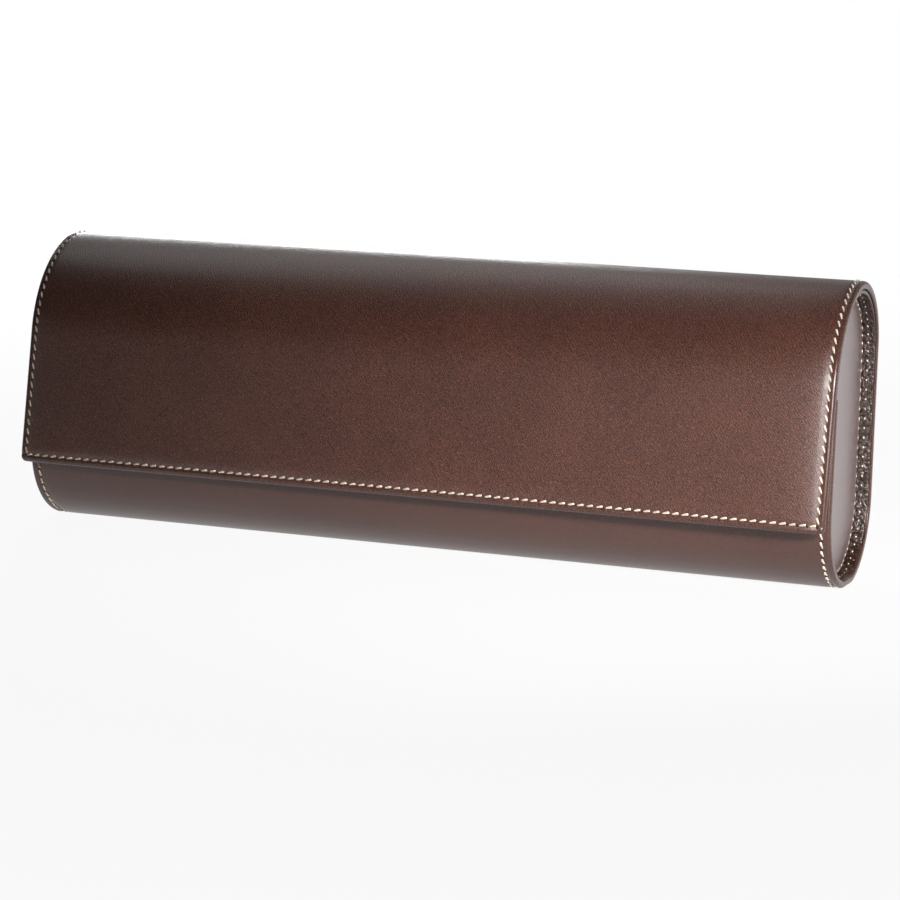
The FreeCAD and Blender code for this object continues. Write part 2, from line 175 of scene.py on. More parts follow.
# Rows and columns of the plain grids
TROUGH_GRID = (110, 60)
TRAY_COLUMNS = 180
BAND_ROWS = 260

# Cushions
CUSHION_PITCH = 71.55
CUSHION_WIDTH = 61.5
CUSHION_DEPTH = 42.0
CUSHION_SEAT = 3.9
CUSHION_HEIGHT = 64.0
CUSHION_INSET = 1.6
CUSHION_ROUND = 6.0
CUSHION_VOXEL = 3.2
SEAM_INSET, SEAM_PINCH, SEAM_WIDTH = 5.0, 1.1, 1.6

# Two faces that meet at more degrees than this keep a crisp edge
CRISP_ANGLE = 60


def turned(angle):
    """The unit vector of the section at an angle in degrees from +Y towards +Z."""
    return np.array([math.cos(math.radians(angle)), math.sin(math.radians(angle))])


class Path:
    """A run of straight and round pieces in the section, measured along its length."""

    def __init__(self, *pieces):
        self.pieces = pieces
        self.ends = np.cumsum([length for length, _ in pieces])
        self.length = float(self.ends[-1])

    def at(self, distances):
        """Points and outward normals at distances along the path."""
        distances = np.clip(np.asarray(distances, float), 0, self.length)
        points = np.empty((len(distances), 2))
        normals = np.empty((len(distances), 2))
        number = np.minimum(np.searchsorted(self.ends, distances), len(self.pieces) - 1)
        for index, (length, place) in enumerate(self.pieces):
            here = number == index
            points[here], normals[here] = place(distances[here] - (self.ends[index] - length))
        return points, normals

    def under(self, distances, depth):
        """Points at a depth under the path."""
        points, normals = self.at(distances)
        return points - normals * np.reshape(depth, (-1, 1))


def straight(start, end):
    """A straight piece of a path; the outside lies to the right of its direction."""
    start, end = np.asarray(start, float), np.asarray(end, float)
    length = float(np.linalg.norm(end - start))
    along = (end - start) / length
    outward = np.array([along[1], -along[0]])

    def place(distance):
        return start + distance[:, None] * along, np.tile(outward, (len(distance), 1))

    return length, place


def bend(centre, radius, start, end):
    """A round piece of a path, from one angle in degrees to a larger one."""

    def place(distance):
        angle = np.radians(start) + distance / radius
        outward = np.stack([np.cos(angle), np.sin(angle)], axis=1)
        return np.asarray(centre) + radius * outward, outward

    return radius * math.radians(end - start), place


BOTTOM_CENTRE = np.array([0, math.sqrt(BOTTOM_RADIUS**2 - HALF_FLAT**2)])
CROWN_CENTRE = np.array([BOTTOM_RADIUS - CROWN_RADIUS, TOP_HEIGHT - CROWN_RADIUS])
PANEL_CENTRE = CROWN_CENTRE - (0, PANEL_DROP)
FRONT_UP = turned(90 - FRONT_TILT)
FRONT_FOOT = BOTTOM_CENTRE + BOTTOM_RADIUS * turned(180 - FRONT_TILT)
FOOT_RISE = BOTTOM_CENTRE[1] - FOOT_RADIUS
FOOT_REACH = math.sqrt((BOTTOM_RADIUS - FOOT_RADIUS) ** 2 - FOOT_RISE**2)
FOOT_ANGLE = math.degrees(math.atan2(FOOT_RISE, FOOT_REACH))


def brow_bend(crown_centre, blend, reach, tilt):
    """The arc that leaves the crown at an angle and runs on into a front line; reach is that line's distance
    from the crown's centre."""
    share = math.cos(math.radians(180 - tilt - blend))
    radius = (reach - share * CROWN_RADIUS) / (1 - share)
    centre = crown_centre - (radius - CROWN_RADIUS) * turned(blend)
    return centre, radius


def trough_pieces(front_start):
    """The front wall from a point on it, the bottom eased into its flat, and the back of the bottom."""
    return [
        straight(front_start, FRONT_FOOT),
        bend(BOTTOM_CENTRE, BOTTOM_RADIUS, 180 - FRONT_TILT, 180 + FOOT_ANGLE),
        bend((-FOOT_REACH, FOOT_RADIUS), FOOT_RADIUS, 180 + FOOT_ANGLE, 270),
        straight((-FOOT_REACH, 0), (FOOT_REACH, 0)),
        bend((FOOT_REACH, FOOT_RADIUS), FOOT_RADIUS, 270, 360 - FOOT_ANGLE),
        bend(BOTTOM_CENTRE, BOTTOM_RADIUS, 360 - FOOT_ANGLE, 360),
    ]


def body_path():
    """The outside of the body: down the front, round the bottom and up the back to the hinge."""
    rise = (LIP_HEIGHT - FRONT_FOOT[1]) / FRONT_UP[1]
    return Path(
        *trough_pieces(FRONT_FOOT + rise * FRONT_UP),
        straight((BOTTOM_RADIUS, BOTTOM_CENTRE[1]), (BOTTOM_RADIUS, CROWN_CENTRE[1])),
        bend(CROWN_CENTRE, CROWN_RADIUS, 0, HINGE_START),
    )


def flap_path(start):
    """The outside of the flap: from an angle on the crown over the top and down the front to the hem."""
    hem = np.array([HEM_Y, HEM_Z])
    outward = turned(180 - FLAP_TILT)
    centre, radius = brow_bend(CROWN_CENTRE, FLAP_BLEND, (hem - CROWN_CENTRE) @ outward, FLAP_TILT)
    return Path(
        bend(CROWN_CENTRE, CROWN_RADIUS, start, FLAP_BLEND),
        bend(centre, radius, FLAP_BLEND, 180 - FLAP_TILT),
        straight(centre + radius * outward, hem),
    )


def end_path():
    """The closed outline that the ends' pieces follow; it closes over the mouth."""
    outward = turned(180 - FRONT_TILT)
    reach = (FRONT_FOOT - PANEL_CENTRE) @ outward
    centre, radius = brow_bend(PANEL_CENTRE, PANEL_BLEND, reach, FRONT_TILT)
    return Path(
        *trough_pieces(centre + radius * outward),
        straight((BOTTOM_RADIUS, BOTTOM_CENTRE[1]), (BOTTOM_RADIUS, PANEL_CENTRE[1])),
        bend(PANEL_CENTRE, CROWN_RADIUS, 0, PANEL_BLEND),
        bend(centre, radius, PANEL_BLEND, 180 - FRONT_TILT),
    )


def divider_path(top, corner):
    """The closed outline of a divider, at the case's outer surface, with its top corners rounded."""
    corner = corner + DIVIDER_DEPTH
    rise = (top + DIVIDER_DEPTH - corner - FRONT_FOOT[1]) / FRONT_UP[1]
    shoulder = FRONT_FOOT + rise * FRONT_UP
    front = shoulder - corner * turned(180 - FRONT_TILT)
    back = np.array([BOTTOM_RADIUS - corner, front[1]])
    return Path(
        *trough_pieces(shoulder),
        straight((BOTTOM_RADIUS, BOTTOM_CENTRE[1]), (BOTTOM_RADIUS, back[1])),
        bend(back, corner, 0, 90),
        straight((back[0], back[1] + corner), (front[0], front[1] + corner)),
        bend(front, corner, 90, 180 - FRONT_TILT),
    )


BODY = body_path()
FLAP = flap_path(HINGE_START)
END = end_path()


def new_object(name, vertices, faces, materials, indices=None):
    """A smooth mesh object from points in millimetres, with its normals made consistent."""
    mesh = bpy.data.meshes.new(name)
    mesh.from_pydata((np.asarray(vertices) * MM).tolist(), [], [list(face) for face in faces])
    for material in materials:
        mesh.materials.append(material)
    if indices is not None:
        mesh.polygons.foreach_set("material_index", np.asarray(indices, np.int32))
    work = bmesh.new()
    work.from_mesh(mesh)
    bmesh.ops.recalc_face_normals(work, faces=work.faces)
    work.to_mesh(mesh)
    work.free()
    mesh.polygons.foreach_set("use_smooth", np.ones(len(mesh.polygons), bool))
    piece = bpy.data.objects.new(name, mesh)
    bpy.context.scene.collection.objects.link(piece)
    return piece


# Distances from a fine edge at which a grid has its points
EDGE_STEPS = np.array([0, 0.05, 0.14, 0.28, 0.46, 0.68, 0.95, 1.3, 1.7, 2.1, 2.6, 3.1, 3.7, 4.5, 5.6, 7, 9])


def graded(start, end, step, fine_start=True, fine_end=True):
    """Places from start to end about a step apart, and closer together near a fine end."""
    low = start + EDGE_STEPS if fine_start else np.array([start])
    high = end - EDGE_STEPS[::-1] if fine_end else np.array([end])
    count = max(2, int(round((high[0] - low[-1]) / step)) + 1)
    return np.concatenate([low, np.linspace(low[-1], high[0], count)[1:-1], high])


def rolled(distance, radius):
    """How far a rounded edge has dropped at a distance from it."""
    gap = np.clip(radius - distance, 0, radius)
    return radius - np.sqrt(radius**2 - gap**2)


def eased(value, start, end):
    """A smooth step from 0 at start to 1 at end."""
    share = np.clip((value - start) / (end - start), 0, 1)
    return share * share * (3 - 2 * share)


def grid_faces(rows, columns, first, closed):
    """Quads of a grid of vertices that starts at an index; a closed grid joins its last row to its first."""
    for row in range(rows if closed else rows - 1):
        ahead = (row + 1) % rows
        for column in range(columns - 1):
            yield (
                first + row * columns + column,
                first + row * columns + column + 1,
                first + ahead * columns + column + 1,
                first + ahead * columns + column,
            )


def sheet(name, path, distances, places, outside, inside, materials, closed=False, edge=0.0, shaped=None):
    """A closed sheet along a path: its outside and inside surfaces lie at depths that two functions give.

    Faces within edge of the sheet's border take the second material. A function may shape the border: it
    moves the grid's points along the path and along X.
    """
    along, across = np.meshgrid(distances, places, indexing="ij")
    rows, columns = along.shape
    side = np.minimum(across - places[0], places[-1] - across)
    border = side if closed else np.minimum(side, np.minimum(along - distances[0], distances[-1] - along))
    shifted_along, shifted_across = shaped(along, across) if shaped else (along, across)
    layers = []
    for depth in (outside, inside):
        points, normals = path.at(shifted_along.ravel())
        section = points - normals * depth(along, across).ravel()[:, None]
        layers.append(np.column_stack([shifted_across.ravel(), section]))
    size = rows * columns
    faces = list(grid_faces(rows, columns, 0, closed)) + list(grid_faces(rows, columns, size, closed))
    loops = [[row * columns + column for row in range(rows)] for column in (0, columns - 1)]
    if not closed:
        loops += [[row * columns + column for column in range(columns)] for row in (0, rows - 1)]
    for loop in loops:
        pairs = zip(loop, loop[1:] + loop[:1]) if closed else zip(loop, loop[1:])
        faces += [(a, b, size + b, size + a) for a, b in pairs]
    indices = None
    if len(materials) > 1:
        flat = np.tile(border.ravel(), 2)
        indices = [int(max(flat[v] for v in face) <= edge + 1e-6) for face in faces]
    piece = new_object(name, np.concatenate(layers), faces, materials, indices)
    piece.data.set_sharp_from_angle(angle=math.radians(CRISP_ANGLE))
    return piece


def hem_corners(along, across):
    """Round the flap's two corners at the hem."""
    back = np.clip(HEM_CORNER - (FLAP.length - along), 0, None)
    aside = np.clip(HEM_CORNER - (HALF_LENGTH - np.abs(across)), 0, None)
    reach = np.hypot(back, aside)
    share = np.where(reach > 0, np.maximum(back, aside) / np.maximum(reach, 1e-9), 1)
    return along - back * (1 - share), across - np.sign(across) * aside * (1 - share)


def rim_corners(along, across):
    """Lower the body's top edge behind the lip, and round the corners where it rises to the rims."""
    side = HALF_LENGTH - np.abs(across)
    drop = WALL_TOP_DROP * eased(side, *LIP_DROP_SPAN) + rolled(side, RIM_CORNER)
    return along + drop * np.clip(1 - along / RIM_CORNER_REACH, 0, 1), across


def ring_faces(rings, sides):
    """Quads between rings of vertices, and a face over the first and the last ring."""
    faces = []
    for ring in range(rings - 1):
        for index in range(sides):
            ahead = (index + 1) % sides
            faces.append((ring * sides + index, ring * sides + ahead,
                          (ring + 1) * sides + ahead, (ring + 1) * sides + index))
    faces.append(tuple(range(sides)))
    faces.append(tuple(range((rings - 1) * sides, rings * sides)))
    return faces


def slab(name, path, rings, materials, step=2.0):
    """A closed plate across the case: rings of (depth under the path, place along X), capped at both ends."""
    distances = np.linspace(0, path.length, int(path.length / step), endpoint=False)
    count = len(distances)
    vertices = []
    for depth, place in rings:
        section = path.under(distances, np.full(count, depth))
        vertices.append(np.column_stack([np.full(count, place), section]))
    return new_object(name, np.concatenate(vertices), ring_faces(len(rings), count), materials)


def plate_rings(depth, low, high, radius, dome=0.0, reach=8.0):
    """Rings of a plate between two places along X, with rounded rims and a slight dome on its high face."""
    angles = np.radians(np.linspace(0, 90, 5))
    shares = (0.1, 0.25, 0.5, 0.75, 1)
    lower = [(depth + radius * (1 - math.sin(a)), low + radius * (1 - math.cos(a))) for a in angles]
    upper = [(d, high - (x - low)) for d, x in reversed(lower)]
    swell = [(depth + radius + reach * s, high + dome * (1 - (1 - s) ** 2)) for s in shares]
    return [(depth + radius + reach, low)] + lower + upper + swell


def new_material(name, **sockets):
    """A material, its tree and its principled shader, with the shader's plain sockets set."""
    material = bpy.data.materials.new(name)
    material.use_nodes = True
    tree = material.node_tree
    shader = tree.nodes["Principled BSDF"]
    for socket, value in sockets.items():
        shader.inputs[socket.replace("_", " ")].default_value = value
    return material, tree, shader


def add_node(tree, kind, links=None, values=None, **settings):
    """A shader node with its settings, plain values and incoming links."""
    node = tree.nodes.new(kind)
    for name, value in settings.items():
        setattr(node, name, value)
    for name, value in (values or {}).items():
        node.inputs[name].default_value = value
    for name, output in (links or {}).items():
        tree.links.new(output, node.inputs[name])
    return node


def texture_place(tree, slant=0.0):
    """The object's own coordinates, turned by an angle in degrees about Y."""
    place = add_node(tree, "ShaderNodeTexCoord")
    values = {"Rotation": (0, math.radians(slant), 0)}
    return add_node(
        tree, "ShaderNodeMapping", {"Vector": place.outputs["Object"]}, values, vector_type="TEXTURE"
    ).outputs["Vector"]


def noise(tree, place, scale, detail=3.0, roughness=0.55):
    """The factor of a noise texture."""
    values = {"Scale": scale, "Detail": detail, "Roughness": roughness}
    return add_node(tree, "ShaderNodeTexNoise", {"Vector": place}, values).outputs["Fac"]


def ramp(tree, factor, stops):
    """A colour ramp over a factor; stops are (position, colour)."""
    node = add_node(tree, "ShaderNodeValToRGB", {"Fac": factor})
    elements = node.color_ramp.elements
    while len(elements) < len(stops):
        elements.new(0.5)
    for element, (position, colour) in zip(elements, stops):
        element.position = position
        element.color = (*colour, 1)
    return node.outputs["Color"]


def span(tree, factor, low, high):
    """A factor spread over a range of numbers."""
    return add_node(
        tree, "ShaderNodeMapRange", {"Value": factor}, {"To Min": low, "To Max": high}
    ).outputs["Result"]


def bump(tree, shader, layers):
    """Bumps on top of each other; each layer is (height, strength, distance in millimetres)."""
    normal = None
    for height, strength, distance in layers:
        links = {"Height": height}
        if normal is not None:
            links["Normal"] = normal
        values = {"Strength": strength, "Distance": distance * MM}
        normal = add_node(tree, "ShaderNodeBump", links, values).outputs["Normal"]
    tree.links.new(normal, shader.inputs["Normal"])


def blend(tree, first, second, share):
    """Two factors mixed; share is the second one's part."""
    return add_node(tree, "ShaderNodeMix", {"A": first, "B": second}, {"Factor": share}).outputs["Result"]


def leather(name, dark, middle, light, roughness, grain, **sockets):
    """Smooth calf leather: clouded dye, and short runs of fine slanted creases among pores.

    The grain shows in colour, gloss and relief; grain is the relief's strength.
    """
    material, tree, shader = new_material(name, **sockets)
    place = texture_place(tree)
    slanted = texture_place(tree, slant=50)
    values = {"Scale": 400, "Distortion": 8, "Detail": 2, "Detail Scale": 1.0}
    waves = add_node(tree, "ShaderNodeTexWave", {"Vector": slanted}, values, bands_direction="Z")
    creases = span(tree, waves.outputs["Fac"], low=0.28, high=0.72)
    pores = span(tree, noise(tree, place, scale=3000, detail=1), low=-0.3, high=1.3)
    runs = span(tree, noise(tree, place, scale=1250, detail=1), low=-0.8, high=1.5)
    relief = add_node(tree, "ShaderNodeMix", {"Factor": runs, "A": pores, "B": creases}).outputs["Result"]
    shade = blend(tree, noise(tree, place, scale=30, detail=2), relief, share=0.88)
    stops = [(0.3, dark), (0.5, middle), (0.7, light)]
    tree.links.new(ramp(tree, shade, stops), shader.inputs["Base Color"])
    tree.links.new(span(tree, relief, roughness - 0.06, roughness + 0.08), shader.inputs["Roughness"])
    bump(tree, shader, [(relief, grain, 0.1)])
    return material


def grained(name, dark, light, painted_glint):
    """Coarse shrunken grain: dark folds, lighter beads, and a few pale specks painted in as highlights."""
    material, tree, shader = new_material(name, Roughness=0.27, Specular_IOR_Level=0.7)
    beads = noise(tree, texture_place(tree), scale=750, detail=2)
    stops = [(0.4, dark), (0.62, light), (0.76, painted_glint)]
    tree.links.new(ramp(tree, beads, stops), shader.inputs["Base Color"])
    bump(tree, shader, [(beads, 1.0, 0.9)])
    return material


def suede(name, dark, light):
    """Soft brushed suede: a nap in patches and fine fibres."""
    material, tree, shader = new_material(
        name, Roughness=0.95, Sheen_Weight=0.35, Sheen_Roughness=0.5, Specular_IOR_Level=0.15
    )
    place = texture_place(tree)
    nap = noise(tree, place, scale=60, detail=4)
    fibre = noise(tree, place, scale=2600, detail=3)
    shade = blend(tree, nap, fibre, share=0.45)
    tree.links.new(ramp(tree, shade, [(0.32, dark), (0.68, light)]), shader.inputs["Base Color"])
    bump(tree, shader, [(nap, 0.25, 0.5), (fibre, 0.5, 0.15)])
    return material


def speckled(name, dark, light, scale, roughness, relief=0.3, **sockets):
    """A plain material with a fine speckle in its colour and roughness."""
    material, tree, shader = new_material(name, **sockets)
    speckle = noise(tree, texture_place(tree), scale, detail=4)
    tree.links.new(ramp(tree, speckle, [(0.3, dark), (0.7, light)]), shader.inputs["Base Color"])
    tree.links.new(span(tree, speckle, roughness - 0.08, roughness + 0.08), shader.inputs["Roughness"])
    bump(tree, shader, [(speckle, relief, 0.08)])
    return material


def thread():
    """Waxed linen thread, cream, with its fibres."""
    material, tree, shader = new_material("thread", Roughness=0.5, Sheen_Weight=0.2)
    fibre = noise(tree, texture_place(tree), scale=3200, detail=3)
    stops = [(0.3, (0.66, 0.53, 0.42)), (0.7, (0.96, 0.85, 0.72))]
    tree.links.new(ramp(tree, fibre, stops), shader.inputs["Base Color"])
    bump(tree, shader, [(fibre, 0.4, 0.06)])
    return material


# The flap's grain colours are its own tone and, in the light colour set well above the middle, partly painted
# highlights on the grain's ridges
FLAP_LEATHER = leather(
    "flap_leather", (0.025, 0.0093, 0.0062), (0.063, 0.0233, 0.0155), (0.182, 0.072, 0.05),
    roughness=0.4, grain=1.0, Coat_Weight=0.2, Coat_Roughness=0.26,
)
BODY_LEATHER = leather(
    "body_leather", (0.046, 0.018, 0.013), (0.077, 0.031, 0.0225), (0.115, 0.047, 0.034),
    roughness=0.4, grain=0.35, Coat_Weight=0.22, Coat_Roughness=0.26,
)
# The panels' base colour is paler and greyer than the other leathers': partly their own smoother leather,
# partly a painted reflection of the white surroundings
PANEL_LEATHER = leather(
    "panel_leather", (0.113, 0.066, 0.062), (0.128, 0.076, 0.072), (0.143, 0.086, 0.082),
    roughness=0.42, grain=0.15, Specular_IOR_Level=1.0, Coat_Weight=1.0, Coat_Roughness=0.35, Coat_IOR=1.7,
)
# The band's palest colour is painted highlight: specks that stand in for light caught by the grain
BAND_LEATHER = grained("band_leather", (0.012, 0.005, 0.0036), (0.05, 0.024, 0.017), (0.34, 0.24, 0.185))
EDGE_PAINT = speckled(
    "edge_paint", (0.05, 0.022, 0.016), (0.085, 0.038, 0.028),
    scale=3000, roughness=0.27, relief=0.06, Specular_IOR_Level=0.5,
)
SUEDE = suede("lining_suede", (0.21, 0.155, 0.11), (0.36, 0.285, 0.215))
CUSHION_SUEDE = suede("cushion_suede", (0.26, 0.2, 0.145), (0.44, 0.36, 0.275))
THREAD_CREAM = thread()
# Painted shade: the dark colour of the awl holes' shallow lenses stands in for the shade inside each hole
HOLE_SHADE = speckled("awl_hole_shade", (0.012, 0.006, 0.004), (0.026, 0.012, 0.009), scale=900, roughness=0.8)
BOARD = speckled("pressed_board", (0.27, 0.22, 0.165), (0.42, 0.36, 0.28), scale=500, roughness=0.8)
MAGNET = speckled("magnet", (0.52, 0.52, 0.5), (0.66, 0.66, 0.65), scale=300, roughness=0.35, Metallic=1.0)


def blended(piece):
    """Bake the transform of a piece of the flap into its mesh."""
    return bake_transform(piece)


def dressed(piece, slot, *nodes):
    """Hide the CAD nodes that a piece stands for; the slot argument is not used."""
    if nodes:
        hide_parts(*nodes)
    return piece


def body_outside(along, across):
    """Depth of the body's leather: a rolled rim, and a furrow under the stitches, deepest at the base."""
    side = HALF_LENGTH - np.abs(across)
    base = (BODY.ends[2] + BODY.ends[3]) / 2
    furrow = FURROW + BASE_FURROW * np.exp(-((along - base) / BASE_FURROW_REACH) ** 2)
    row = np.exp(-((side - RIM_ROW) / RIM_FURROW_WIDTH) ** 2)
    return ROLL_SHARE * rolled(side, EDGE_ROLL) + furrow * row


def body_inside(along, across):
    """Depth of the body's leather on its inner side: at the rim it is turned in over the band's edge."""
    side = HALF_LENGTH - np.abs(across)
    turned_in = 1 - eased(side, *RIM_TURN_IN)
    return WRAP_DEPTH + (RIM_DEPTH - WRAP_DEPTH) * turned_in - rolled(side, RIM_TURN_ROLL)


def rim_inset(along):
    """Distance of the stitches of the body's rims from the rims' edge."""
    return np.full(along.shape, RIM_ROW)


def side_inset(along):
    """Distance of the flap's side stitches from its edge: as on the body's rim at the hinge, then nearer."""
    return RIM_ROW + (SIDE_ROW - RIM_ROW) * eased(along, *SIDE_ROW_SPAN)


def flap_draw(along, across):
    """How far the flap is drawn down to the stitches near its edges; in the middle it is full."""
    side = np.clip(HALF_LENGTH - np.abs(across) - side_inset(along), 0, None)
    hem = np.clip(FLAP.length - along - HEM_ROW, 0, None)
    side_draw = sum(depth * np.exp(-side / reach) for depth, reach in SIDE_DRAWS)
    side_draw = eased(along, *SIDE_DRAW_SPAN) * side_draw
    hem_draw = HEM_DRAW * np.exp(-hem / HEM_DRAW_REACH)
    return np.cbrt(side_draw**3 + hem_draw**3)


def flap_outside(along, across):
    """Depth of the flap's leather: drawn down to the stitches, with a furrow under them and a rolled edge."""
    side = HALF_LENGTH - np.abs(across)
    hem = FLAP.length - along
    side_furrow = np.exp(-((side - side_inset(along)) / SIDE_FURROW_WIDTH) ** 2)
    hem_furrow = np.exp(-((hem - HEM_ROW) / HEM_FURROW_WIDTH) ** 2)
    side_roll = EDGE_ROLL + SIDE_ROLL_GROWTH * eased(along, *SIDE_ROLL_SPAN)
    edge = ROLL_SHARE * np.maximum(rolled(side, side_roll), rolled(hem, HEM_ROLL))
    return edge + flap_draw(along, across) + FURROW * np.maximum(side_furrow, hem_furrow)


def flap_inside(along, across):
    """Depth of the flap's inner side: the leather is turned over the edge, and thinner behind the lining."""
    border = np.minimum(HALF_LENGTH - np.abs(across), FLAP.length - along)
    near = 1 - eased(along, *HINGE_MARGIN_SPAN)
    turned_in = 1 - eased(border, TURN_IN[0] - TURN_IN_CUT[0] * near, TURN_IN[1] - TURN_IN_CUT[1] * near)
    thick = FLAP_SKIN + (FLAP_MARGIN_DEPTHS[1] + TURN_IN_EXTRA * near - FLAP_SKIN) * turned_in
    return thick + flap_draw(along, across) - TURN_IN_ROLL_SHARE * rolled(border, TURN_IN_ROLL)


def tray_inside(along, across):
    """Depth of the flap's suede: a flat margin, and a soft tray over the padding."""
    border = np.minimum(np.minimum(HALF_LENGTH - np.abs(across), FLAP.length - along), along - TRAY_START)
    margin = FLAP_MARGIN_DEPTHS[1]
    tray = margin + (FLAP_TRAY_DEPTH - margin) * eased(border, *TRAY_WALL)
    return np.minimum(tray + flap_draw(along, across), FLAP_TRAY_DEPTH)


def constant(depth):
    """A depth that is the same all over."""
    return lambda along, across: np.full(along.shape, depth)


def leather_pieces():
    """The outer leather: the body's wrap, and the flap with the hinge that it bends over."""
    places = graded(-HALF_LENGTH, HALF_LENGTH, step=4.0)
    wrap = sheet(
        "body_skin", BODY, graded(0, BODY.length, step=2.0, fine_end=False), places, body_outside,
        body_inside, [BODY_LEATHER, EDGE_PAINT], edge=BODY_EDGE_PAINT, shaped=rim_corners,
    )
    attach(dressed(wrap, "leather", "body_wrap"), "case")
    flap = sheet(
        "flap_skin", FLAP, graded(0, FLAP.length, step=2.0, fine_start=False), places, flap_outside,
        flap_inside, [FLAP_LEATHER, EDGE_PAINT], edge=FLAP_EDGE_PAINT, shaped=hem_corners,
    )
    blended(dressed(flap, "leather", "flap_leather", "hinge_strip", "flap_padding"))


def lining_pieces():
    """The suede inside: the trough's lining, the flap's tray and the dividers."""
    trough = sheet(
        "body_suede", BODY, np.linspace(WALL_TOP_DROP, BODY.length, TROUGH_GRID[0]),
        np.linspace(-LINING_HALF, LINING_HALF, TROUGH_GRID[1]),
        constant(LINING_DEPTHS[0]), constant(LINING_DEPTHS[1]), [SUEDE],
    )
    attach(dressed(trough, "suede", "body_lining"), "case")
    reach = HALF_LENGTH - SIDE_ROW - TRAY_SIDE_GAP
    hem = FLAP.length - HEM_ROW + TRAY_HEM_LAP
    columns = np.linspace(-reach + TRAY_MARGIN, reach - TRAY_MARGIN, TRAY_COLUMNS)
    tray = sheet(
        "flap_suede", FLAP, graded(TRAY_SUEDE_START, hem, step=1.6, fine_start=False, fine_end=False),
        np.concatenate([[-reach], columns, [reach]]),
        lambda along, across: FLAP_MARGIN_DEPTHS[0] + flap_draw(along, across), tray_inside, [SUEDE],
    )
    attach(dressed(tray, "suede", "flap_lining"), "flap")
    outline = divider_path(DIVIDER_TOP, DIVIDER_CORNER)
    for number in (1, 2, 3):
        low, high = (corner.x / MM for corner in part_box(f"divider_{number}"))
        rings = plate_rings(DIVIDER_DEPTH, low, high, DIVIDER_ROUND)
        piece = slab(f"divider_{number}_suede", outline, rings, [SUEDE])
        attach(dressed(piece, "suede", f"divider_{number}"), "case")


def end_pieces(side, sign):
    """The band inside the rim, the panel set back in it, and the suede behind the panel."""
    places = np.sort(sign * graded(BAND_INSIDE, BAND_OUTSIDE, step=1.0, fine_start=False))
    band = sheet(
        f"{side}_band", END, np.linspace(0, END.length, BAND_ROWS, endpoint=False), places,
        lambda along, across: BAND_DEPTHS[0] + rolled(BAND_OUTSIDE - np.abs(across), BAND_ROLL),
        lambda along, across: BAND_DEPTHS[1] - rolled(BAND_OUTSIDE - np.abs(across), BAND_ROLL),
        [BAND_LEATHER, EDGE_PAINT], closed=True, edge=BAND_EDGE_PAINT,
    )
    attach(dressed(band, "leather", f"{side}_end_band"), "case")
    rings = plate_rings(PANEL_DEPTH, BAND_INSIDE, PANEL_FACE, PANEL_ROUND, PANEL_DOME)
    panel = slab(f"{side}_panel", END, [(depth, sign * place) for depth, place in rings], [PANEL_LEATHER])
    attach(dressed(panel, "leather", f"{side}_end_panel"), "case")
    rings = plate_rings(PANEL_DEPTH, END_LINING[0], END_LINING[1], END_LINING_ROUND)
    inner = slab(f"{side}_suede", END, [(depth, sign * place) for depth, place in rings], [SUEDE])
    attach(dressed(inner, "suede", f"{side}_end_lining"), "case")


def stitch_form(slant, sections=13, sides=8):
    """One stitch of twisted thread, thicker at its head, from one hole to the next."""
    places = np.linspace(-1, 1, sections)
    angles = np.linspace(0, 2 * math.pi, sides, endpoint=False)
    vertices = []
    for place in places:
        radius = THREAD * (1 + HEAD_SWELL * place) * (1 - END_THINNING * place**4)
        height = STITCH_RISE + STITCH_TILT * place - STITCH_DIVE * abs(place) ** 5
        lobes = radius * (1 + LOBE_DEPTH * np.cos(2 * angles - LOBE_TURN * place))
        vertices.append(np.column_stack([
            np.full(sides, STITCH_REACH * place),
            slant * STITCH_REACH * place + lobes * np.cos(angles),
            height + lobes * np.sin(angles),
        ]))
    return np.concatenate(vertices), ring_faces(sections, sides)


def hole_form(sides=10):
    """The slanted slit that an awl leaves between two stitches: a shallow lens whose dark colour is painted
    shade inside the hole.
    """
    angles = np.linspace(0, 2 * math.pi, sides, endpoint=False)
    slit = np.outer(np.cos(angles), SLIT_ACROSS) + np.outer(np.sin(angles), SLIT_ALONG)
    rim = np.column_stack([slit, np.full(sides, HOLE_RIM)])
    vertices = np.concatenate([rim, [[0, 0, HOLE_TOP]], [[0, 0, HOLE_BOTTOM]]])
    faces = [(index, (index + 1) % sides, sides) for index in range(sides)]
    faces += [((index + 1) % sides, index, sides + 1) for index in range(sides)]
    return vertices, faces


def sewn(name, rows):
    """One object with all the stitches and holes of some rows: (slant, (points, directions, normals))."""
    vertices, faces, indices = [], [], []
    count = 0
    for slant, (points, directions, normals) in rows:
        lefts = np.cross(normals, directions)
        for form, index, shift in ((stitch_form(slant), 0, 0.0), (hole_form(), 1, 0.5)):
            for point, along, left, up in zip(points, directions, lefts, normals):
                local = form[0]
                vertices.append(
                    point + np.outer(local[:, 0] + shift * PITCH, along)
                    + np.outer(local[:, 1], left) + np.outer(local[:, 2], up)
                )
                faces += [tuple(v + count for v in face) for face in form[1]]
                indices += [index] * len(form[1])
                count += len(local)
    return new_object(name, np.concatenate(vertices), faces, [THREAD_CREAM, HOLE_SHADE], indices)


def row_along(path, start, end, place, depth, forward=1, inward=False):
    """A row of stitches along a path, at a place along X and a depth that two functions give."""
    count = max(2, int(round((end - start) / PITCH)))
    distances = start + (np.arange(count) + 0.5) * (end - start) / count
    across = place(distances)
    section, normals = path.at(distances)
    section = section - normals * depth(distances, across)[:, None]
    points = np.column_stack([across, section])
    ups = np.column_stack([np.zeros(count), normals]) * (-1 if inward else 1)
    directions = forward * np.column_stack([np.zeros(count), -normals[:, 1], normals[:, 0]])
    return points, directions, ups


def beside(sign, inset):
    """Places along X near the end that a sign names; inset gives their distance from its edge."""
    return lambda along: sign * (HALF_LENGTH - inset(along))


